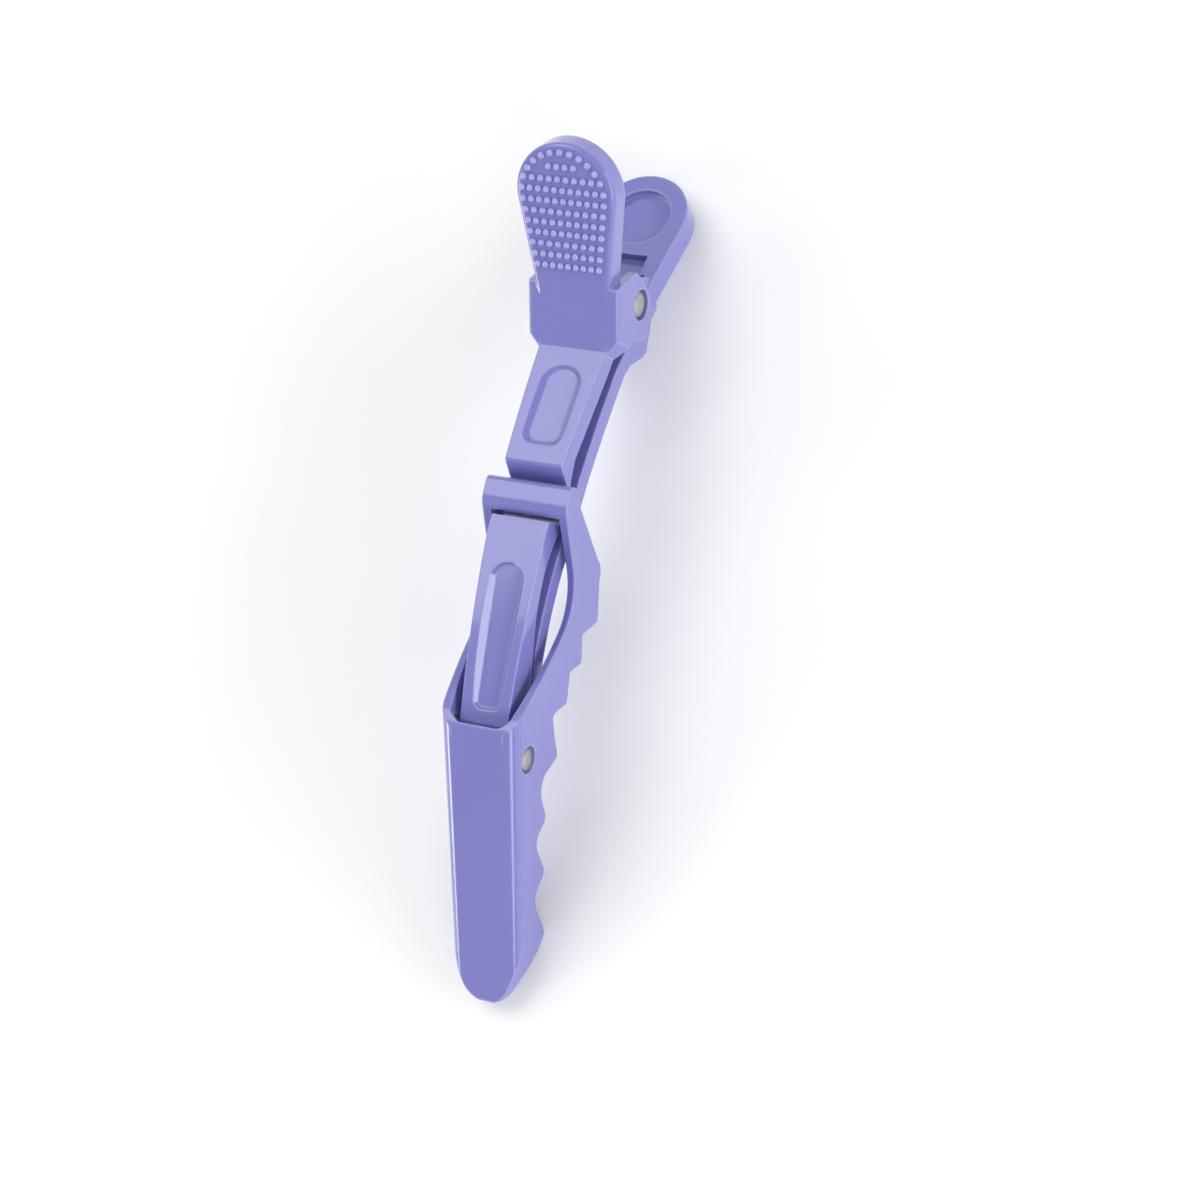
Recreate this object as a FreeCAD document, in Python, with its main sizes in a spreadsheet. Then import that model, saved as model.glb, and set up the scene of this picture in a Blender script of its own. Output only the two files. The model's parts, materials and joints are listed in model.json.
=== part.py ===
"""Double-hinged sectioning clip for hair: two moulded levers, a hinged jaw, two pins and a spring.

Every outline is drawn from the axis of the main pin: X runs along the clip towards the tip, Z is up,
and the clip is symmetric about the XZ plane. Each part's Placement then sets the clip down on its
back, so that the origin is at the middle of its underside.
"""
import FreeCAD, Part
import math
import os
import Sketcher

Vector = FreeCAD.Vector
Rotation = FreeCAD.Rotation

DIMENSIONS = {
    # where the main pin's axis is when the clip lies on its back
    "pin_along": -36.35,
    "pin_height": 13.4,
    # the second pin, from the first
    "jaw_pin_along": 60.9,
    "jaw_pin_up": 3.0,
    # hub of the two levers
    "housing_half": 6.5,
    "housing_wall": 1.3,
    "housing_round": 0.5,
    "hub_half": 5.0,
    "hub_wall": 1.1,
    "chamfer_start": 6.1,
    "chamfer_end": 7.9,
    # thumb pad
    "pad_angle": 36.0,
    "pad_foot_along": -0.44,
    "pad_foot_up": 8.5,
    "pad_reach": 11.4,
    "pad_radius": 7.0,
    "pad_taper": 8.0,
    "pad_thick": 3.2,
    "pad_rim": 1.5,
    "pad_face": 1.5,
    "pad_round": 0.6,
    # back handle
    "handle_angle": -20.0,
    "handle_drop": 2.55,
    "handle_reach": 15.2,
    "handle_radius": 6.6,
    "handle_thick": 3.5,
    "handle_dish_radius": 4.3,
    "handle_dish_deep": 1.0,
    "spring_slot_half": 3.3,
    "spring_slot_near": 5.0,
    "spring_slot_far": 9.2,
    "spring_slot_deep": 1.5,
    # neck and tongue of the front lever
    "neck_half_root": 4.8,
    "neck_half_end": 4.1,
    "neck_end_along": 23.4,
    "neck_end_up": 8.2,
    "neck_wall": 1.1,
    "saddle_start": 25.7,
    "saddle_end": 30.75,
    "saddle_up": 5.5,
    "tongue_start": 30.95,
    "tongue_crest": 8.85,
    "tongue_end": 57.1,
    "tongue_end_up": 6.75,
    "tongue_crown": 110.0,
    "tongue_half_end": 3.4,
    "boss_radius": 2.2,
    # shallow recesses in the front faces
    "dish_length": 13.2,
    "dish_half": 3.3,
    "dish_deep": 0.75,
    "dish_inset": 1.2,
    "recess_length": 20.4,
    "recess_half_start": 2.7,
    "recess_half_end": 2.3,
    "recess_deep": 1.0,
    "recess_inset": 0.8,
    # long arm of the back lever
    "arm_thick": 2.4,
    "arm_tip_thick": 1.5,
    "arm_half": 4.3,
    "arm_half_inner": 3.25,
    "arm_half_tip": 2.9,
    "arm_root_along": 7.6,
    "arm_root_up": -1.1,
    "arm_crest_along": 36.0,
    "arm_crest_up": 4.2,
    "arm_rise": 150.0,
    "arm_bow": 60.0,
    "arm_knee_along": 57.5,
    "arm_knee_up": 0.22,
    "arm_tip_along": 83.6,
    "arm_tip_up": -10.3,
    "tooth_tall": 0.5,
    "tooth_pitch": 2.0,
    # hinged jaw
    "hood_half": 6.05,
    "hood_half_wide": 6.3,
    "hood_wall": 1.1,
    "window_wall": 0.85,
    "bridge_start": 25.9,
    "bridge_end": 30.2,
    "bridge_top": 8.4,
    "bridge_thick": 2.2,
    "shell_start": 58.4,
    "shell_start_up": 8.4,
    "shell_angle": 29.15,
    "shell_straight": 57.0,
    "shell_half_start": 5.6,
    "shell_half_end": 5.05,
    "shell_wall": 1.2,
    "shell_round_left": 1.8,
    "shell_round_right": 1.8,
    "nose_start": 84.6,
    "nose_end": 92.8,
    # pins
    "main_shaft": 1.5,
    "main_head": 1.8,
    "main_head_thick": 0.6,
    "main_sink": 0.75,
    "main_sink_radius": 2.05,
    "jaw_shaft": 1.2,
    "jaw_head": 1.6,
    "jaw_head_thick": 0.45,
    "jaw_sink": 0.6,
    "jaw_sink_radius": 1.85,
    "running_gap": 0.05,
    # torsion spring
    "wire": 0.9,
    "coil_radius": 2.7,
    "coil_turns": 4.0,
    "coil_pitch": 1.05,
    "leg_long": 8.4,
}


class Size:
    """A length that knows both its value and the sheet expression it comes from."""

    def __init__(self, value, text=None):
        self.value = float(value)
        self.text = text if text is not None else repr(float(value))

    def joined(self, sign, other, value):
        return Size(value, f"({self.text} {sign} {other.text})")

    def __add__(self, other):
        other = size(other)
        return self.joined("+", other, self.value + other.value)

    def __sub__(self, other):
        other = size(other)
        return self.joined("-", other, self.value - other.value)

    def __mul__(self, other):
        other = size(other)
        return self.joined("*", other, self.value * other.value)

    def __truediv__(self, other):
        other = size(other)
        return self.joined("/", other, self.value / other.value)

    def __radd__(self, other):
        return size(other) + self

    def __rsub__(self, other):
        return size(other) - self

    def __rmul__(self, other):
        return size(other) * self

    def __neg__(self):
        return Size(-self.value, f"(-{self.text})")


def size(number):
    return number if isinstance(number, Size) else Size(number)


def sine(angle):
    return Size(math.sin(math.radians(angle.value)), f"sin({angle.text} * 1 deg)")


def cosine(angle):
    return Size(math.cos(math.radians(angle.value)), f"cos({angle.text} * 1 deg)")


def make_sheet(doc):
    sheet = doc.addObject("Spreadsheet::Sheet", "Dims")
    for row, (alias, value) in enumerate(DIMENSIONS.items(), start=1):
        sheet.set(f"A{row}", alias)
        sheet.set(f"B{row}", repr(value))
        sheet.setAlias(f"B{row}", alias)
    doc.recompute()
    return sheet


class Dims:
    """dims.some_alias is the Size of that cell."""

    def __init__(self, sheet):
        self.sheet = sheet

    def __getattr__(self, alias):
        return Size(self.sheet.get(alias), f"Dims.{alias}")


doc = FreeCAD.newDocument("SectioningClip")
dims = Dims(make_sheet(doc))
SIDE = "XZ_Plane"
PLAN = "XY_Plane"


def new_body(name):
    body = doc.addObject("PartDesign::Body", name)
    body.Label = name
    body.setExpression("Placement.Base.x", "Dims.pin_along")
    body.setExpression("Placement.Base.z", "Dims.pin_height")
    return body


def new_sketch(body, name, plane, tilt=None, at=None):
    """A sketch on one of the body's own planes, if asked turned about Y and moved to at=(x, z)."""
    sketch = body.newObject("Sketcher::SketchObject", name)
    support = next(o for o in body.Origin.OriginFeatures if o.Role == plane)
    sketch.AttachmentSupport = [(support, "")]
    sketch.MapMode = "FlatFace"
    if tilt is not None:
        sketch.AttachmentOffset = FreeCAD.Placement(Vector(), Rotation(Vector(0, 1, 0), tilt.value))
        sketch.setExpression("AttachmentOffset.Rotation.Angle", tilt.text)
    if at is not None:
        sketch.setExpression("AttachmentOffset.Base.x", at[0].text)
        sketch.setExpression("AttachmentOffset.Base.z", at[1].text)
    return sketch


def arc_between(start, end, bend):
    """Arc from start to end; a positive bend turns left, a negative one right."""
    chord = end - start
    middle = (start + end) / 2
    left = Vector(-chord.y, chord.x, 0).normalize()
    rise = math.sqrt(max(bend * bend - chord.Length ** 2 / 4, 0))
    centre = middle + left * math.copysign(rise, bend)
    first, last = (start, end) if bend > 0 else (end, start)
    circle = Part.Circle(centre, Vector(0, 0, 1), abs(bend))
    return Part.ArcOfCircle(circle, circle.parameter(first), circle.parameter(last))


def draw_outline(sketch, corners):
    """A closed outline. A corner (x, y, bend) is reached by an arc of radius bend, others by a line."""
    corners = [tuple(size(part) for part in corner) for corner in corners]
    spots = [Vector(corner[0].value, corner[1].value, 0) for corner in corners]
    edges = []
    for index, start in enumerate(spots):
        goal = (index + 1) % len(spots)
        if len(corners[goal]) == 3:
            bend = corners[goal][2]
            edge = sketch.addGeometry(arc_between(start, spots[goal], bend.value))
            ends = (1, 2) if bend.value > 0 else (2, 1)
            limit = sketch.addConstraint(Sketcher.Constraint("Radius", edge, abs(bend.value)))
            sketch.setExpression(f"Constraints[{limit}]", bend.text if bend.value > 0 else (-bend).text)
        else:
            edge = sketch.addGeometry(Part.LineSegment(start, spots[goal]))
            ends = (1, 2)
        edges.append((edge, ends))
    for index, (edge, ends) in enumerate(edges):
        follower, follower_ends = edges[(index + 1) % len(edges)]
        sketch.addConstraint(Sketcher.Constraint("Coincident", edge, ends[1], follower, follower_ends[0]))
        for kind, place in (("DistanceX", corners[index][0]), ("DistanceY", corners[index][1])):
            limit = sketch.addConstraint(Sketcher.Constraint(kind, -1, 1, edge, ends[0], place.value))
            sketch.setExpression(f"Constraints[{limit}]", place.text)


def rounded(corners):
    """Outline corners for a chain of straight runs, each corner (x, y, r) rounded to radius r."""
    spots = [Vector(x, y, 0) for x, y, _ in corners]
    outline = [corners[0][:2]]
    for before, spot, after, corner in zip(spots, spots[1:], spots[2:], corners[1:]):
        back, onward = (before - spot).normalize(), (after - spot).normalize()
        reach = corner[2] / math.tan(back.getAngle(onward) / 2)
        bend = math.copysign(corner[2], back.cross(onward).z * -1)
        near, far = spot + back * reach, spot + onward * reach
        outline += [(near.x, near.y), (far.x, far.y, bend)]
    return outline + [corners[-1][:2]]


def draw_circle(sketch, along, up, radius):
    along, up, radius = size(along), size(up), size(radius)
    centre = Vector(along.value, up.value, 0)
    ring = sketch.addGeometry(Part.Circle(centre, Vector(0, 0, 1), radius.value))
    for kind, amount in (("DistanceX", along), ("DistanceY", up)):
        limit = sketch.addConstraint(Sketcher.Constraint(kind, -1, 1, ring, 3, amount.value))
        sketch.setExpression(f"Constraints[{limit}]", amount.text)
    limit = sketch.addConstraint(Sketcher.Constraint("Radius", ring, radius.value))
    sketch.setExpression(f"Constraints[{limit}]", radius.text)


def mirrored(half_outline):
    """A plan outline from its half with y >= 0, listed from the tip's corner to the hub's corner."""
    other_half = []
    for index in range(len(half_outline) - 1, -1, -1):
        bend = half_outline[index + 1][2:] if index + 1 < len(half_outline) else ()
        other_half.append((half_outline[index][0], -size(half_outline[index][1])) + tuple(bend))
    if size(half_outline[0][1]).value == 0:
        return [other_half.pop()] + list(half_outline[1:]) + other_half
    return list(half_outline) + other_half


def volume_change(body, feature, before, grows):
    doc.recompute()
    after = feature.Shape.Volume
    if (after <= before + 1e-6) if grows else (after >= before - 1e-6):
        raise RuntimeError(f"{feature.Name} changed nothing in {body.Name}")
    return feature


def body_volume(body):
    return body.Shape.Volume if body.Tip is not None and not body.Shape.isNull() else 0.0


def pad(body, sketch, length, both_ways=True, down=False):
    """Adds material: both ways from the sketch by default, else to one side of it."""
    before = body_volume(body)
    feature = body.newObject("PartDesign::Pad", sketch.Name.replace("Sketch", "Pad"))
    feature.Profile = sketch
    feature.SideType = "Symmetric" if both_ways else "One side"
    feature.Reversed = down
    feature.setExpression("Length", size(length).text)
    return volume_change(body, feature, before, True)


def pocket(body, sketch, length=None, both_ways=True, up=False):
    """Removes material: right through without a length, else to that depth."""
    before = body_volume(body)
    feature = body.newObject("PartDesign::Pocket", sketch.Name.replace("Sketch", "Pocket"))
    feature.Profile = sketch
    feature.SideType = "Symmetric" if both_ways else "One side"
    feature.Reversed = up
    if length is None:
        feature.Type = "ThroughAll"
    else:
        feature.setExpression("Length", size(length).text)
    return volume_change(body, feature, before, False)


def keep_inside(body, name, half_outline, start, end, reach=15.0):
    """Trims a body to a plan outline between two places along it."""
    sketch = new_sketch(body, name, PLAN)
    draw_outline(sketch, [(start, reach), (start, -reach), (end, -reach), (end, reach)])
    draw_outline(sketch, mirrored(half_outline))
    return pocket(body, sketch)


def cross_bore(body, name, along, up, radius, half=None):
    """A round hole along Y, through or only as deep as half on both sides of the middle."""
    sketch = new_sketch(body, name, SIDE)
    draw_circle(sketch, along, up, radius)
    return pocket(body, sketch, None if half is None else 2 * size(half))


def side_sinks(body, name, along, up, radius, outer_half, deep):
    """Counterbores from both outer faces, cut from two mirrored sketches."""
    for side, sign in (("Left", -1), ("Right", 1)):
        sketch = new_sketch(body, name.replace("Sketch", side + "Sketch"), SIDE)
        sketch.setExpression("AttachmentOffset.Base.z", (-sign * size(outer_half)).text)
        draw_circle(sketch, along, up, radius)
        pocket(body, sketch, deep, both_ways=False, up=sign > 0)


def round_edges(body, name, radius, chosen):
    """Rounds the edges of the body's tip that chosen(edge) picks."""
    base = body.Tip
    names = [f"Edge{i}" for i, edge in enumerate(base.Shape.Edges, start=1) if chosen(edge)]
    if not names:
        raise RuntimeError(f"{name} found no edges")
    feature = body.newObject("PartDesign::Fillet", name)
    feature.Base = (base, names)
    feature.setExpression("Radius", size(radius).text)
    doc.recompute()
    return feature


def draw_spoon(sketch, foot_along, reach, radius, taper):
    """Spoon outline in the pad's plane, whose X points to the hub: tapering flanks and a round end."""
    touch_along = -reach + radius * sine(taper)
    touch_half = radius * cosine(taper)
    foot_half = touch_half - (size(foot_along) - touch_along) * sine(taper) / cosine(taper)
    draw_outline(sketch, [
        (foot_along, -foot_half), (foot_along, foot_half),
        (touch_along, touch_half), (-reach - radius, 0, radius), (touch_along, -touch_half, radius),
    ])


def recess_in_front(body, name, middle, slope, length, half_start, half_end, deep, inset, clear=0.3):
    """An oblong recess with sloping walls in a front face that passes through middle and falls by slope."""
    slope = size(slope)
    rims = []
    for level, (up, narrow) in enumerate(((clear, -inset * clear / deep), (-deep, inset))):
        at = (middle[0] + up * sine(slope), middle[1] + up * cosine(slope))
        sketch = new_sketch(body, f"{name}Sketch{level}", PLAN, slope, at)
        straight = length / 2 - narrow
        wide, slim = half_start - narrow, half_end - narrow
        draw_outline(sketch, [
            (-straight + wide, -wide), (-straight + wide, wide, -wide * 1.02),
            (straight - slim * 0.6, slim), (straight, slim * 0.4, -slim * 0.6),
            (straight, -slim * 0.4), (straight - slim * 0.6, -slim, -slim * 0.6),
        ])
        rims.append(sketch)
    before = body_volume(body)
    feature = body.newObject("PartDesign::SubtractiveLoft", name)
    feature.Profile = rims[0]
    feature.Sections = [rims[1]]
    feature.Ruled = True
    volume_change(body, feature, before, False)


def flat_through(place, angle):
    """The distance above a plane across the clip that rises towards the hub's end by angle."""
    place = (place[0].value, place[1].value)
    out = (math.sin(math.radians(angle.value)), math.cos(math.radians(angle.value)))
    return lambda point: (point.x - place[0]) * out[0] + (point.z - place[1]) * out[1]


def lies_on(edge, height, near=0.03):
    first, last = edge.ParameterRange
    points = [edge.valueAt(first + (last - first) * step / 4) for step in range(5)]
    return all(abs(height(point)) < near for point in points)


def front_lever():
    body = new_body("front_lever")
    jaw_along, jaw_up = dims.jaw_pin_along, dims.jaw_pin_up
    # neck and tongue, first as one block between the housing and the boss on the second pin
    side = new_sketch(body, "BeamSketch", SIDE)
    draw_outline(side, [
        (6.0, 2.2), (9.0, 1.5), (21.9, 4.9), (24.8, 4.7), (26.6, 4.1), (30.3, 4.1), (31.3, 4.8),
        (37.0, 6.5, -12.0), (44.0, 5.6, -25.0), (51.0, 3.1),
        (jaw_along - 1.2, jaw_up - dims.boss_radius * 0.83),
        (jaw_along + 1.2, jaw_up - dims.boss_radius * 0.83, 3.0),
        (jaw_along + dims.boss_radius, jaw_up, dims.boss_radius),
        (jaw_along + 0.6, jaw_up + dims.boss_radius, dims.boss_radius),
        (58.6, 5.5), (dims.tongue_end, dims.tongue_end_up, 1.6),
        (34.0, dims.tongue_crest, dims.tongue_crown), (dims.tongue_start, dims.tongue_crest - 0.35, 9.0),
        (dims.saddle_end, dims.saddle_up), (dims.saddle_start, dims.saddle_up),
        (dims.neck_end_along + 0.6, dims.neck_end_up - 0.4), (dims.neck_end_along, dims.neck_end_up, 0.8),
        (7.6, 3.95, 160.0), (6.0, 4.6),
    ])
    pad(body, side, 2 * dims.neck_half_root)
    keep_inside(body, "BeamPlanSketch", [
        (64.0, dims.tongue_half_end + 0.35), (59.5, dims.tongue_half_end + 0.35),
        (57.6, dims.tongue_half_end), (34.0, dims.neck_half_end), (dims.neck_end_along, dims.neck_half_end),
        (8.0, dims.neck_half_root), (5.0, dims.neck_half_root),
    ], 5.5, 66.0)
    # housing with its two ears
    foot_of_front, top_of_front = (size(7.4), size(3.9)), (size(0.1), size(7.8))
    front_angle = size(math.degrees(math.atan2(
        top_of_front[1].value - foot_of_front[1].value, foot_of_front[0].value - top_of_front[0].value,
    )))
    side = new_sketch(body, "HousingSketch", SIDE)
    draw_outline(side, [
        (-3.5, 3.2), (-2.4, -0.9), (-0.4, -3.0, 2.6), (3.9, -3.4), (4.7, -0.3), (6.0, 0.9), (8.6, 1.5),
        (8.2, 3.9), foot_of_front, top_of_front,
    ])
    pad(body, side, 2 * dims.housing_half)
    plan = new_sketch(body, "ChamferSketch", PLAN)
    for sign in (-1, 1):
        draw_outline(plan, [
            (dims.chamfer_start, sign * (dims.housing_half + 0.01)),
            (dims.chamfer_end, sign * dims.neck_half_root),
            (10.0, sign * dims.neck_half_root), (10.0, sign * (dims.housing_half + 0.01)),
        ])
    pocket(body, plan)
    # thumb pad
    foot = (dims.pad_foot_along, dims.pad_foot_up)
    plane = new_sketch(body, "ThumbPadSketch", PLAN, dims.pad_angle, foot)
    draw_spoon(plane, 3.0, dims.pad_reach, dims.pad_radius, dims.pad_taper)
    pad(body, plane, dims.pad_thick, both_ways=False, down=True)
    behind = (
        dims.pad_foot_along - dims.pad_thick * sine(dims.pad_angle),
        dims.pad_foot_up - dims.pad_thick * cosine(dims.pad_angle),
    )
    plane = new_sketch(body, "ThumbPadHollowSketch", PLAN, dims.pad_angle, behind)
    draw_spoon(plane, -2.0, dims.pad_reach, dims.pad_radius - dims.pad_rim, dims.pad_taper)
    pocket(body, plane, dims.pad_thick - dims.pad_face, both_ways=False, up=True)
    # open back of the housing, and the hollow undersides of the neck and the tongue
    side = new_sketch(body, "HousingHollowSketch", SIDE)
    draw_outline(side, [(0.3, 6.1), (-2.3, 5.7), (-6.0, 4.5), (-6.0, -6.0), (6.2, -6.0), (6.2, 2.6)])
    pocket(body, side, 2 * (dims.housing_half - dims.housing_wall))
    side = new_sketch(body, "NeckHollowSketch", SIDE)
    draw_outline(side, [(8.8, 2.9), (8.8, 0.5), (21.5, 3.9), (21.5, 6.3)])
    pocket(body, side, 2 * (dims.neck_half_end - dims.neck_wall))
    side = new_sketch(body, "TongueHollowSketch", SIDE)
    draw_outline(side, [(45.5, 6.3), (45.5, 3.0), (57.0, 1.0), (57.0, 4.7)])
    pocket(body, side, 2 * (dims.tongue_half_end - dims.neck_wall))
    # dish in the neck and recess in the tongue
    recess_in_front(body, "Dish", (15.2, 6.4), -15.0, dims.dish_length, dims.dish_half, dims.dish_half,
                    dims.dish_deep, dims.dish_inset)
    recess_in_front(body, "Recess", (46.2, 8.45), 5.2, dims.recess_length, dims.recess_half_start,
                    dims.recess_half_end, dims.recess_deep, dims.recess_inset)
    # pin holes
    cross_bore(body, "MainBoreSketch", 0, 0, dims.main_shaft)
    side_sinks(body, "MainSinkSketch", 0, 0, dims.main_sink_radius, dims.housing_half, dims.main_sink)
    cross_bore(body, "JawBoreSketch", jaw_along, jaw_up, dims.jaw_shaft + dims.running_gap)
    pad_face = flat_through(foot, dims.pad_angle)
    round_edges(body, "ThumbPadRounding", dims.pad_round,
                lambda edge: lies_on(edge, pad_face) and edge.BoundBox.XMin < foot[0].value - 1)
    housing_front = flat_through(foot_of_front, front_angle)
    round_edges(body, "HousingRounding", dims.housing_round,
                lambda edge: lies_on(edge, housing_front) and edge.Length > 2)
    return body


def back_lever():
    body = new_body("back_lever")
    # long arm
    crest = (dims.arm_crest_along, dims.arm_crest_up)
    knee = (dims.arm_knee_along, dims.arm_knee_up)
    tip = (dims.arm_tip_along, dims.arm_tip_up)
    thick, slim = dims.arm_thick, dims.arm_tip_thick
    side = new_sketch(body, "ArmSketch", SIDE)
    draw_outline(side, [
        (dims.arm_root_along, dims.arm_root_up), (*crest, -dims.arm_rise), (*knee, -dims.arm_bow), tip,
        (tip[0] - 0.36 * slim, tip[1] - 0.93 * slim, -slim / 1.9),
        (knee[0] - 0.36 * thick, knee[1] - 0.93 * thick),
        (crest[0], crest[1] - thick, dims.arm_bow - thick), (8.6, -3.5, dims.arm_rise), (5.0, -4.0),
        (5.0, -2.0),
    ])
    pad(body, side, 2 * dims.hub_half)
    teeth = new_sketch(body, "TeethSketch", SIDE)
    fall = (tip[1] - knee[1]) / (tip[0] - knee[0])
    for number in range(9):
        along = 64.5 + dims.tooth_pitch * number
        base = knee[1] + (along - knee[0]) * fall
        draw_outline(teeth, [
            (along - 0.6, base - 0.3), (along, base + dims.tooth_tall), (along + 0.6, base - 0.75),
        ])
    pad(body, teeth, 2 * dims.hub_half)
    keep_inside(body, "ArmPlanSketch", [
        (tip[0] + 1.0, 0.9), (tip[0] - 2.0, dims.arm_half_tip, 3.0), (56.0, dims.arm_half_inner),
        (50.0, dims.arm_half_inner + 0.1), (42.0, dims.arm_half_inner + 0.5), (34.0, dims.arm_half),
        (24.0, dims.arm_half), (9.0, 4.6), (6.0, dims.hub_half), (4.0, dims.hub_half),
    ], 4.5, 95.0)
    # hub with its two ears
    side = new_sketch(body, "HubSketch", SIDE)
    draw_outline(side, [
        (-3.7, 0.0), (0.0, 3.7, -3.7), (3.4, -1.5, -3.7), (4.6, -2.7), (7.8, -1.1), (9.0, -0.8), (9.0, -3.3),
        (7.4, -4.2), (5.6, -7.0), (4.2, -7.7, -2.2), (0.4, -7.1), (-1.4, -8.0), (-3.0, -7.2), (-4.6, -4.4),
    ])
    pad(body, side, 2 * dims.hub_half)
    plan = new_sketch(body, "HubTaperSketch", PLAN)
    for sign in (-1, 1):
        draw_outline(plan, [
            (4.6, sign * (dims.hub_half + 0.01)), (9.1, sign * 4.6), (9.9, sign * 4.6),
            (9.9, sign * (dims.hub_half + 0.01)),
        ])
    pocket(body, plan)
    # handle
    foot = (-dims.handle_drop * sine(dims.handle_angle), -dims.handle_drop * cosine(dims.handle_angle))
    plane = new_sketch(body, "HandleSketch", PLAN, dims.handle_angle, foot)
    draw_spoon(plane, -2.6, dims.handle_reach, dims.handle_radius, dims.pad_taper)
    pad(body, plane, dims.handle_thick, both_ways=False, down=True)
    plane = new_sketch(body, "HandleDishSketch", PLAN, dims.handle_angle, foot)
    draw_circle(plane, -dims.handle_reach, 0, dims.handle_dish_radius)
    pocket(body, plane, dims.handle_dish_deep, both_ways=False)
    # room for the spring between the ears and along the handle
    side = new_sketch(body, "HubHollowSketch", SIDE)
    draw_outline(side, [(-6.0, 6.0), (-6.0, -3.6), (-4.2, -5.2), (0.0, -4.1), (3.5, -3.8), (3.5, 6.0)])
    pocket(body, side, 2 * (dims.hub_half - dims.hub_wall))
    plane = new_sketch(body, "SpringSlotSketch", PLAN, dims.handle_angle, foot)
    draw_outline(plane, [
        (-dims.spring_slot_far, -dims.spring_slot_half), (-dims.spring_slot_near, -dims.spring_slot_half),
        (-dims.spring_slot_near, dims.spring_slot_half), (-dims.spring_slot_far, dims.spring_slot_half),
    ])
    pocket(body, plane, dims.spring_slot_deep, both_ways=False)
    side = new_sketch(body, "HubCoreSketch", SIDE)
    draw_outline(side, [(1.0, -5.4), (4.8, -5.4), (5.4, -9.0), (1.0, -9.0)])
    pocket(body, side, 2 * (dims.hub_half - dims.hub_wall))
    cross_bore(body, "MainBoreSketch", 0, 0, dims.main_shaft + dims.running_gap)
    return body


def round_shell_corner(body, side):
    """Rounds the long front corner of the shell on one side (+1 or -1), along its tapering edge."""
    fall = dims.shell_angle.value
    run = dims.nose_start.value - dims.shell_straight.value
    onward = Vector(
        run, side * (dims.shell_half_end.value - dims.shell_half_start.value),
        -run * math.tan(math.radians(fall)),
    ).normalize()
    outward = Vector(math.sin(math.radians(fall)), 0, math.cos(math.radians(fall)))
    sketch = new_sketch(body, f"CornerSketch{'Right' if side > 0 else 'Left'}", PLAN)
    turned = Rotation(outward.cross(onward), outward, onward, "ZYX")
    sketch.AttachmentOffset = FreeCAD.Placement(Vector(), turned)
    slope = sine(dims.shell_angle) / cosine(dims.shell_angle)
    up = dims.shell_start_up - (dims.shell_straight - dims.shell_start) * slope
    sketch.setExpression("AttachmentOffset.Base.x", dims.shell_straight.text)
    sketch.setExpression("AttachmentOffset.Base.y", (side * dims.shell_half_start).text)
    sketch.setExpression("AttachmentOffset.Base.z", up.text)
    bend, spare = dims.shell_round_right if side > 0 else dims.shell_round_left, 3.0
    draw_outline(sketch, [
        (-side * bend, spare), (-side * bend, 0), (0, -bend, -side * bend), (side * spare, -bend),
        (side * spare, spare),
    ])
    pocket(body, sketch, 80.0)


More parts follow.
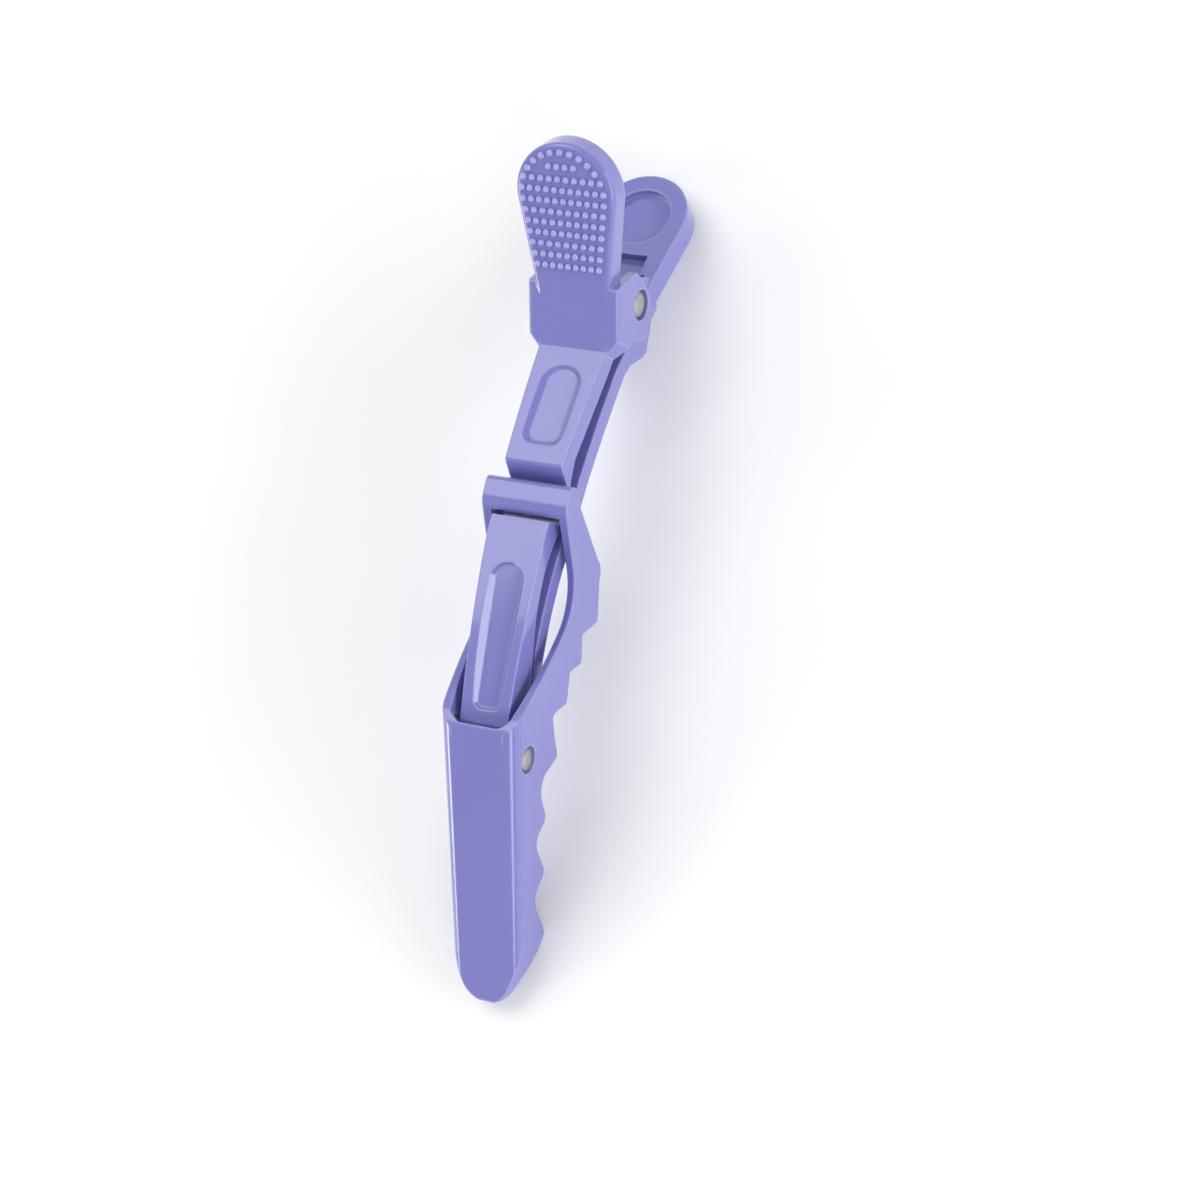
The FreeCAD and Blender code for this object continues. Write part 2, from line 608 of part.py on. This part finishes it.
def hinged_jaw():
    body = new_body("hinged_jaw")
    start, end, top = dims.bridge_start, dims.bridge_end, dims.bridge_top
    side = new_sketch(body, "JawSketch", SIDE)
    draw_outline(side, [
        (start, top - 1.0), (start + 1.0, top, -1.0), (start + 2.4, top), (end, top - 0.75, -2.6),
        (36.0, 2.75), (44.0, 2.0, 7.5), (56.6, 8.1),
        (dims.shell_start + 1.6, dims.shell_start_up - 0.89, -3.0),
        (91.2, -9.9), (92.6, -11.0, -5.5),
        *rounded([
            (92.3, -11.3, 0), (88.6, -11.35, 5.0), (82.2, -13.55, 0.7), (78.2, -7.7, 2.3), (74.4, -9.5, 1.3),
            (71.0, -4.3, 1.9), (67.6, -6.2, 1.3), (63.6, -1.5, 2.6), (59.4, -5.3, 0.7),
            (54.5, -0.6, 0.6), (52.5, -3.6, 0.4), (48.5, -2.2, 0.5), (46.9, -5.0, 0.4),
            (43.4, -3.5, 0.5), (41.0, -7.3, 0.5), (35.8, -5.4, 0),
        ]),
        (33.4, -3.8, -2.2), (27.9, 4.6), (26.0, 6.3),
    ])
    pad(body, side, 2 * (dims.hood_half_wide + 0.2))
    keep_inside(body, "JawPlanSketch", [
        (dims.nose_end, 0.0), (90.5, 3.4, 3.82), (dims.nose_start, dims.shell_half_end, 15.8),
        (dims.shell_straight, dims.shell_half_start), (44.0, dims.hood_half_wide, 90.0),
        (24.0, dims.hood_half),
    ], 23.0, 97.0)
    for side in (-1, 1):
        round_shell_corner(body, side)
    # window between the bridge and the shell, open right through
    plan = new_sketch(body, "WindowSketch", PLAN)
    inner = dims.hood_half - dims.hood_wall
    wide = dims.hood_half_wide - dims.window_wall
    draw_outline(plan, [
        (end, -inner), (end, inner), (44.0, wide), (56.0, 4.45, -60.0), (58.0, 2.6, -2.1),
        (58.0, -2.6), (56.0, -4.45, -2.1), (44.0, -wide, -60.0),
    ])
    pocket(body, plan)
    side = new_sketch(body, "UnderBridgeSketch", SIDE)
    under = top - dims.bridge_thick
    draw_outline(side, [(start - 1.0, under), (end + 1.0, under), (end + 1.0, -12.0), (start - 1.0, -12.0)])
    pocket(body, side, 2 * inner)
    # inside of the shell, parallel to its front
    angle = dims.shell_angle
    deep = dims.shell_wall
    at = (dims.shell_start - deep * sine(angle), dims.shell_start_up - deep * cosine(angle))
    plane = new_sketch(body, "ShellHollowSketch", PLAN, angle, at)
    wall = dims.hood_wall
    draw_outline(plane, [
        (-6.0, -3.4), (-6.0, 3.4), (1.0, dims.shell_half_start - wall - 0.1),
        (26.5, dims.shell_half_end - wall), (34.6, 1.6, -12.0), (34.6, -1.6, -1.7),
        (26.5, wall - dims.shell_half_end, -12.0),
        (1.0, wall + 0.1 - dims.shell_half_start),
    ])
    pocket(body, plane, 30.0, both_ways=False)
    cross_bore(body, "JawBoreSketch", dims.jaw_pin_along, dims.jaw_pin_up, dims.jaw_shaft)
    side_sinks(body, "JawSinkSketch", dims.jaw_pin_along, dims.jaw_pin_up, dims.jaw_sink_radius,
               dims.shell_half_start, dims.jaw_sink)
    return body


def pin(name, along, up, shaft, head, head_thick, half_span):
    """A riveted pin: a shaft with a flat head at each end, turned about its own axis."""
    body = new_body(name)
    sketch = new_sketch(body, "PinSketch", PLAN, at=(size(along), size(up)))
    inner = half_span - head_thick
    draw_outline(sketch, [
        (0, -half_span), (head * 0.85, -half_span), (head, -half_span + head * 0.15), (head, -inner),
        (shaft, -inner), (shaft, inner), (head, inner), (head, half_span - head * 0.15),
        (head * 0.85, half_span), (0, half_span),
    ])
    feature = body.newObject("PartDesign::Revolution", "PinRevolution")
    feature.Profile = sketch
    feature.ReferenceAxis = (sketch, ["V_Axis"])
    feature.Angle = 360
    doc.recompute()
    return body


def torsion_spring():
    """Round wire: a coil about the main pin, one leg behind the thumb pad and one on the handle."""
    radius, pitch = dims.coil_radius.value, dims.coil_pitch.value
    leg, wire = dims.leg_long.value, dims.wire.value / 2
    pad_way = 180.0 - dims.pad_angle.value
    handle_way = 180.0 - dims.handle_angle.value
    first, last = pad_way - 90.0, handle_way - 270.0
    turns = dims.coil_turns.value + (first - last) / 360.0
    half = turns * pitch / 2

    def around(angle, reach=1.0):
        return Vector(reach * math.cos(math.radians(angle)), 0, reach * math.sin(math.radians(angle)))

    start = around(first, radius) - Vector(0, half, 0)
    end = around(last, radius) + Vector(0, half, 0)
    coil = Part.makeHelix(pitch, 2 * half, radius)
    across, onward = around(first), around(first - 90.0)
    turned = FreeCAD.Matrix(
        across.x, onward.x, 0, 0,
        across.y, onward.y, 1, -half,
        across.z, onward.z, 0, 0,
        0, 0, 0, 1,
    )
    coil.transformShape(turned)
    section = Part.Wire([Part.makeCircle(wire, start, onward)])
    solid = Part.Wire(coil.Edges).makePipeShell([section], True, True)
    for corner, way in ((start, around(pad_way)), (end, around(handle_way))):
        for piece in (Part.makeCylinder(wire, leg, corner, way), Part.makeSphere(wire, corner),
                      Part.makeSphere(wire, corner + way * leg)):
            solid = solid.fuse(piece)
    spring = doc.addObject("Part::Feature", "torsion_spring")
    spring.Shape = solid.mirror(Vector(), Vector(0, 1, 0))
    spring.Placement.Base = Vector(dims.pin_along.value, 0, dims.pin_height.value)
    return spring


def write_parts(parts):
    failed = [o.Name for o in doc.Objects if "Invalid" in o.State or "Error" in o.State]
    if failed:
        raise RuntimeError(f"failed objects: {failed}")
    os.makedirs("parts", exist_ok=True)
    for part in parts:
        if part.Shape.isNull() or not part.Shape.isValid() or len(part.Shape.Solids) != 1:
            raise RuntimeError(f"{part.Label} is not one valid solid")
        part.Shape.exportStep(f"parts/{part.Label}.step")


PARTS = [
    front_lever(),
    back_lever(),
    hinged_jaw(),
    pin("main_pin", 0, 0, dims.main_shaft, dims.main_head, dims.main_head_thick,
        dims.housing_half - dims.main_sink + dims.main_head_thick),
    pin("jaw_pin", dims.jaw_pin_along, dims.jaw_pin_up, dims.jaw_shaft, dims.jaw_head, dims.jaw_head_thick,
        dims.shell_half_start - dims.jaw_sink + dims.jaw_head_thick),
    torsion_spring(),
]
doc.recompute()
write_parts(PARTS)
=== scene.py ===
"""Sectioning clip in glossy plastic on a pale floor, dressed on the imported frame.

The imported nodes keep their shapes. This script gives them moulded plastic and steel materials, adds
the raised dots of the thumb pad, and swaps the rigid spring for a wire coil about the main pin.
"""
import json
import math

import bpy
from mathutils import Matrix, Vector


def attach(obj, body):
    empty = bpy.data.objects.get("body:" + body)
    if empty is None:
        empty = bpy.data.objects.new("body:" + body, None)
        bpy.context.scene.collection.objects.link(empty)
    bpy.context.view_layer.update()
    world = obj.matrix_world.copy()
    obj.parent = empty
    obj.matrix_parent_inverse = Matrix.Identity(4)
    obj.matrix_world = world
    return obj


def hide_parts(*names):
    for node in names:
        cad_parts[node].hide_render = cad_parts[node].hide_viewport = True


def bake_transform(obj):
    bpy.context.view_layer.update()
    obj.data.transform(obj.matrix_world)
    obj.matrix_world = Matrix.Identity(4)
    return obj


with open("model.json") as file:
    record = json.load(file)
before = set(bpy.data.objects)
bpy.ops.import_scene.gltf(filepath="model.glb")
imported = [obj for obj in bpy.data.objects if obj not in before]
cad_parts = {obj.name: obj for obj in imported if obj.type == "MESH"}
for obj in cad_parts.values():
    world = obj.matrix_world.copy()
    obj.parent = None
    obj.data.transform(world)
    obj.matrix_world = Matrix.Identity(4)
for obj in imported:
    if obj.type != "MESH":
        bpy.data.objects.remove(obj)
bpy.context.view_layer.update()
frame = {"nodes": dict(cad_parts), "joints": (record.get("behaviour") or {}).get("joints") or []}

MM = 0.001
Y_AXIS = Vector((0, 1, 0))


def joint_place(name):
    joint = next(j for j in frame["joints"] if j["name"] == name)
    return Vector(joint["pos_m"])


MAIN_PIN = joint_place("squeeze_hinge")

# ------------------------------------------------------------------ materials


class Nodes:
    """Short-hand for building one material's node tree."""

    def __init__(self, name):
        self.material = bpy.data.materials.new(name)
        self.material.use_nodes = True
        self.tree = self.material.node_tree
        self.shader = self.tree.nodes["Principled BSDF"]
        self.place = self.add("ShaderNodeTexCoord").outputs["Object"]

    def add(self, kind, **settings):
        node = self.tree.nodes.new(kind)
        for key, value in settings.items():
            setattr(node, key, value)
        return node

    def link(self, source, target):
        self.tree.links.new(source, target)

    def noise(self, scale, detail=2.0, stretch=None):
        node = self.add("ShaderNodeTexNoise")
        node.inputs["Scale"].default_value = scale
        node.inputs["Detail"].default_value = detail
        place = self.place
        if stretch is not None:
            mapping = self.add("ShaderNodeMapping")
            mapping.inputs["Scale"].default_value = stretch
            self.link(place, mapping.inputs["Vector"])
            place = mapping.outputs["Vector"]
        self.link(place, node.inputs["Vector"])
        return node.outputs["Fac"]

    def ranged(self, value, low, high):
        node = self.add("ShaderNodeMapRange")
        node.inputs["To Min"].default_value = low
        node.inputs["To Max"].default_value = high
        self.link(value, node.inputs["Value"])
        return node.outputs["Result"]

    def blended(self, factor, first, second):
        node = self.add("ShaderNodeMix", data_type="RGBA")
        for socket, colour in ((node.inputs["A"], first), (node.inputs["B"], second)):
            if hasattr(colour, "is_output"):
                self.link(colour, socket)
            else:
                socket.default_value = (*colour, 1)
        self.link(factor, node.inputs["Factor"])
        return node.outputs["Result"]

    def bump(self, height, strength, distance, normal=None):
        node = self.add("ShaderNodeBump")
        node.inputs["Strength"].default_value = strength
        node.inputs["Distance"].default_value = distance
        self.link(height, node.inputs["Height"])
        if normal is not None:
            self.link(normal, node.inputs["Normal"])
        return node.outputs["Normal"]

    def soft_edges(self, radius, samples=6):
        node = self.add("ShaderNodeBevel", samples=samples)
        node.inputs["Radius"].default_value = radius
        return node.outputs["Normal"]

    def edge_mask(self, softened, most):
        """Rises from 0 on open faces to most where the softened normal leaves the face's own: the mask
        of the painted edge highlight.
        """
        own = self.add("ShaderNodeNewGeometry").outputs["Normal"]
        likeness = self.add("ShaderNodeVectorMath", operation="DOT_PRODUCT")
        self.link(own, likeness.inputs[0])
        self.link(softened, likeness.inputs[1])
        node = self.add("ShaderNodeMapRange")
        for name, value in (("From Min", 0.90), ("From Max", 0.995), ("To Min", most), ("To Max", 0)):
            node.inputs[name].default_value = value
        self.link(likeness.outputs["Value"], node.inputs["Value"])
        return node.outputs["Result"]

    def plug(self, **inputs):
        for name, value in inputs.items():
            socket = self.shader.inputs[name.replace("_", " ")]
            if hasattr(value, "is_output"):
                self.link(value, socket)
            else:
                socket.default_value = value


# paler lilac painted along all edges: a painted highlight standing in for the glints the rounded edges
# catch
EDGE_HIGHLIGHT_PAINT = (0.62, 0.62, 0.93)
MOST_EDGE_HIGHLIGHT = 0.45


def moulded_plastic(name, pale, deep, edge_radius):
    """Glossy moulded plastic: faint flow marks, slightly uneven gloss, softened edges with a painted
    highlight of paler colour along them.
    """
    nodes = Nodes(name)
    flow = nodes.noise(55, 3, (1, 2.5, 1.5))
    ripple = nodes.noise(160, 2)
    grain = nodes.noise(2600, 2)
    softened = nodes.soft_edges(edge_radius)
    body = nodes.blended(flow, deep, pale)
    nodes.plug(
        # the edges get a paler colour: painted highlight
        Base_Color=nodes.blended(nodes.edge_mask(softened, MOST_EDGE_HIGHLIGHT), body, EDGE_HIGHLIGHT_PAINT),
        Roughness=nodes.ranged(grain, 0.12, 0.19),
        Normal=nodes.bump(ripple, 0.12, 0.0004, softened),
        IOR=1.5, Coat_Weight=0.7, Coat_Roughness=0.05,
        Subsurface_Weight=0.12, Subsurface_Radius=(0.5, 0.45, 1.0), Subsurface_Scale=0.0016,
    )
    return nodes.material


def steel(name, bright, dark, stretch, low, high, edge_radius):
    """Steel with fine marks squeezed along one direction; its roughness lies between low and high."""
    nodes = Nodes(name)
    marks = nodes.noise(900, 3, stretch)
    nodes.plug(
        Base_Color=nodes.blended(marks, dark, bright), Metallic=1.0,
        Roughness=nodes.ranged(marks, low, high),
        Normal=nodes.bump(marks, 0.15, 0.00005, nodes.soft_edges(edge_radius)),
    )
    return nodes.material


def floor_paint(name):
    """Pale matt paint that glows a little, so that the floor stays white around the shadow."""
    nodes = Nodes(name)
    nodes.plug(
        Base_Color=nodes.blended(nodes.noise(6, 2), (0.90, 0.90, 0.905), (0.93, 0.93, 0.93)),
        Roughness=nodes.ranged(nodes.noise(40, 2), 0.55, 0.7),
        Emission_Color=(1, 1, 1, 1), Emission_Strength=0.1,
    )
    return nodes.material


# PALE and DEEP are the two ends of the plastic's slight unevenness
PALE = (0.228, 0.228, 0.600)
DEEP = (0.196, 0.194, 0.545)
# the dots are painted paler than the plastic around them: a painted highlight for the light their
# domes catch
DOT_PALE_PAINTED_LIT = (0.40, 0.40, 0.80)
DOT_DEEP_PAINTED_LIT = (0.36, 0.36, 0.76)
plastic = moulded_plastic("lilac_plastic", PALE, DEEP, 0.00045)
dot_plastic_painted_lit = moulded_plastic("lilac_dots_painted_highlight", DOT_PALE_PAINTED_LIT, DOT_DEEP_PAINTED_LIT, 0.00010)
pin_steel = steel(
    "pin_steel", bright=(0.56, 0.56, 0.54), dark=(0.38, 0.38, 0.37),
    stretch=(1, 1, 8), low=0.12, high=0.22, edge_radius=0.0014,
)
spring_steel = steel(
    "spring_steel", bright=(0.66, 0.66, 0.68), dark=(0.42, 0.42, 0.44),
    stretch=(1, 6, 1), low=0.25, high=0.4, edge_radius=0.0001,
)


def dress(node, material):
    for slot in frame["nodes"][node].material_slots:
        slot.material = material


for node in ("back_lever", "front_lever", "hinged_jaw"):
    dress(node, plastic)
for node in ("main_pin", "jaw_pin"):
    dress(node, pin_steel)

# ------------------------------------------------------------------ mesh helpers


def new_piece(name, points, faces, material):
    mesh = bpy.data.meshes.new(name)
    mesh.from_pydata([tuple(point) for point in points], [], faces)
    mesh.update()
    mesh.polygons.foreach_set("use_smooth", [True] * len(mesh.polygons))
    mesh.materials.append(material)
    piece = bpy.data.objects.new(name, mesh)
    bpy.context.scene.collection.objects.link(piece)
    return piece


def add_dome(points, faces, centre, along, across, out, radius, height, around=14, rings=4):
    """A low dome whose foot lies a little under the face it stands on."""
    foot = 0.15 * height
    first = len(points)
    for ring in range(rings):
        lift = ring / rings
        reach = radius * math.cos(lift * math.pi / 2)
        up = -foot if ring == 0 else height * math.sin(lift * math.pi / 2)
        for step in range(around):
            turn = 2 * math.pi * step / around
            aside = along * (reach * math.cos(turn)) + across * (reach * math.sin(turn))
            points.append(centre + aside + out * up)
    points.append(centre + out * height)
    top = len(points) - 1
    for ring in range(rings - 1):
        for step in range(around):
            a, b = first + ring * around + step, first + ring * around + (step + 1) % around
            faces.append((a, b, b + around, a + around))
    last = first + (rings - 1) * around
    for step in range(around):
        faces.append((last + step, last + (step + 1) % around, top))
    faces.append(tuple(first + step for step in reversed(range(around))))


# ------------------------------------------------------------------ dots on the thumb pad

# the pad's front face, as the part's source places it: it rises from PAD_FOOT along PAD_UP
PAD_DEGREES, HANDLE_DEGREES = 36.0, 20.0
PAD_ANGLE = math.radians(PAD_DEGREES)
PAD_FOOT = MAIN_PIN + Vector((-0.44, 0, 8.5)) * MM
PAD_UP = Vector((-math.cos(PAD_ANGLE), 0, math.sin(PAD_ANGLE)))
PAD_OUT = Vector((math.sin(PAD_ANGLE), 0, math.cos(PAD_ANGLE)))
DOT_RADIUS, DOT_HEIGHT = 0.49 * MM, 0.50 * MM
DOT_PITCH = 1.17 * MM
DOTS_ASIDE = -0.2 * MM
# rows of dots across the pad, from the housing up
ROWS, ROW_PITCH, FIRST_ROW = 9, 1.475 * MM, 1.8 * MM
LAST_ROW = FIRST_ROW + (ROWS - 1) * ROW_PITCH
NARROWING = 0.15
# a short row above them, and an arc of dots along the pad's round end
SHORT_ROW, SHORT_COUNT = 15.3 * MM, 4
ARC_CENTRE, ARC_RADIUS, ARC_PITCH = 11.4 * MM, 5.85 * MM, 1.42 * MM


def row_half(along):
    """Half the dotted width at a distance up the pad: it widens upwards, then follows the arc."""
    if along > ARC_CENTRE:
        return math.sqrt(max(ARC_RADIUS ** 2 - (along - ARC_CENTRE) ** 2, 0))
    return ARC_RADIUS - (ARC_CENTRE - along) * NARROWING


def dot_places():
    places = []
    for row in range(ROWS):
        along = FIRST_ROW + row * ROW_PITCH
        half = row_half(along)
        count = round(2 * half / DOT_PITCH) + 1
        places += [(along, half * (2 * n / (count - 1) - 1)) for n in range(count)]
    places += [(SHORT_ROW, (n - (SHORT_COUNT - 1) / 2) * DOT_PITCH) for n in range(SHORT_COUNT)]
    first = math.asin((LAST_ROW - ARC_CENTRE) / ARC_RADIUS)
    sweep = math.pi - 2 * first
    steps = round(sweep * ARC_RADIUS / ARC_PITCH)
    for n in range(1, steps):
        turn = first + sweep * n / steps
        places.append((ARC_CENTRE + ARC_RADIUS * math.sin(turn), ARC_RADIUS * math.cos(turn)))
    return places


points, faces = [], []
for along, across in dot_places():
    centre = PAD_FOOT + PAD_UP * along + Y_AXIS * (across + DOTS_ASIDE)
    add_dome(points, faces, centre, PAD_UP, Y_AXIS, PAD_OUT, DOT_RADIUS, DOT_HEIGHT)
dots = new_piece("thumb_pad_dots", points, faces, dot_plastic_painted_lit)
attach(dots, "front_half")

# ------------------------------------------------------------------ spring

WIRE_RADIUS, COIL_RADIUS = 0.45 * MM, 2.7 * MM
COIL_PITCH, LEG_LONG, LEG_STEPS = 1.05 * MM, 8.4 * MM, 8
PAD_WAY, HANDLE_WAY = 180.0 - PAD_DEGREES, 180.0 + HANDLE_DEGREES
FIRST_TURN = PAD_WAY - 90.0
TURNS = 4.0 + (FIRST_TURN - (HANDLE_WAY - 270.0)) / 360.0
COIL_HALF = TURNS * COIL_PITCH / 2


def around_pin(degrees, reach=1.0):
    angle = math.radians(degrees)
    return Vector((reach * math.cos(angle), 0, reach * math.sin(angle)))


def spring_line(steps=200):
    """The middle of the wire: the pad's leg, the coil about the main pin, the handle's leg."""
    start = around_pin(FIRST_TURN, COIL_RADIUS) - Y_AXIS * COIL_HALF
    line = [start + around_pin(PAD_WAY) * LEG_LONG * (1 - n / LEG_STEPS) for n in range(LEG_STEPS)]
    for n in range(steps + 1):
        turned = FIRST_TURN - 360.0 * TURNS * n / steps
        line.append(around_pin(turned, COIL_RADIUS) + Y_AXIS * (COIL_HALF * (2 * n / steps - 1)))
    end = line[-1]
    line += [end + around_pin(HANDLE_WAY) * LEG_LONG * n / LEG_STEPS for n in range(1, LEG_STEPS + 1)]
    return [MAIN_PIN + Vector((point.x, -point.y, point.z)) for point in line]


def tube(line, radius, around=14):
    """Round wire along a line, its section turned as little as possible, with narrowed ends."""
    points, faces = [], []
    ways = []
    for n in range(len(line)):
        ways.append((line[min(n + 1, len(line) - 1)] - line[max(n - 1, 0)]).normalized())
    side = ways[0].orthogonal().normalized()
    sections = [(line[0] - ways[0] * radius * 0.5, ways[0], 0.6)]
    sections += [(line[n], ways[n], 1.0) for n in range(len(line))]
    sections += [(line[-1] + ways[-1] * radius * 0.5, ways[-1], 0.6)]
    for spot, way, share in sections:
        side = (side - way * side.dot(way)).normalized()
        other = way.cross(side)
        for step in range(around):
            turn = 2 * math.pi * step / around
            points.append(spot + (side * math.cos(turn) + other * math.sin(turn)) * radius * share)
    for ring in range(len(sections) - 1):
        for step in range(around):
            a, b = ring * around + step, ring * around + (step + 1) % around
            faces.append((a, b, b + around, a + around))
    faces.append(tuple(reversed(range(around))))
    last = (len(sections) - 1) * around
    faces.append(tuple(range(last, last + around)))
    return points, faces


spring = new_piece("coil_spring", *tube(spring_line(), WIRE_RADIUS), spring_steel)
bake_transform(spring)
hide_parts("torsion_spring")

# ------------------------------------------------------------------ floor, light and camera

HALF_FLOOR = 1.6
floor_corners = [(x * HALF_FLOOR, y * HALF_FLOOR, 0) for x, y in ((-1, -1), (1, -1), (1, 1), (-1, 1))]
floor = new_piece("floor", floor_corners, [(0, 1, 2, 3)], floor_paint("pale_floor"))

CAMERA_PLACE = MAIN_PIN + Vector((73.02, 180.64, 368.31)) * MM
TOWARDS_VIEWER = Vector((0.08382, 0.42019, 0.90356))
CAMERA_RIGHT = Vector((-0.20437, 0.89472, -0.39712))
CAMERA_UP = Vector((-0.97530, -0.15137, 0.16087))


def facing(right, up, back, place):
    """The matrix of something at place whose own X, Y and Z point right, up and back."""
    turned = Matrix((right, up, back)).transposed().to_4x4()
    return Matrix.Translation(place) @ turned


camera_data = bpy.data.cameras.new("camera")
camera_data.lens = 95.1
camera_data.sensor_width = 36
camera_data.clip_start = 0.01
camera = bpy.data.objects.new("camera", camera_data)
camera.matrix_world = facing(CAMERA_RIGHT, CAMERA_UP, TOWARDS_VIEWER, CAMERA_PLACE)
bpy.context.scene.collection.objects.link(camera)
bpy.context.scene.camera = camera


LIGHTS_AIM = Vector((0, 0, 0.01))


def soft_box(name, toward, distance, size, power, long):
    """An area light at a distance towards somewhere from the clip, facing it: size wide, long high."""
    data = bpy.data.lights.new(name, "AREA")
    data.shape = "RECTANGLE"
    data.size = size
    data.size_y = long
    data.energy = power
    light = bpy.data.objects.new(name, data)
    toward = toward.normalized()
    light.location = LIGHTS_AIM + toward * distance
    light.rotation_mode = "QUATERNION"
    light.rotation_quaternion = toward.to_track_quat("Z", "Y")
    bpy.context.scene.collection.objects.link(light)


soft_box("overhead", Vector((-0.40, -0.42, 0.80)), distance=1.0, size=0.9, power=4.5, long=0.7)
soft_box("right_fill", Vector((0.03, 0.85, 0.33)), distance=0.7, size=0.75, power=2.2, long=0.16)
soft_box("left_strip", Vector((0.57, -0.77, 0.26)), distance=0.7, size=0.16, power=1.0, long=0.3)
soft_box("right_strip", Vector((0.65, 0.60, 0.42)), distance=0.7, size=0.2, power=0.7, long=0.3)

world = bpy.data.worlds.new("studio")
world.use_nodes = True
background = world.node_tree.nodes["Background"]
background.inputs["Color"].default_value = (1, 1, 1, 1)
background.inputs["Strength"].default_value = 0.47
bpy.context.scene.world = world
bpy.context.scene.view_settings.view_transform = "Standard"
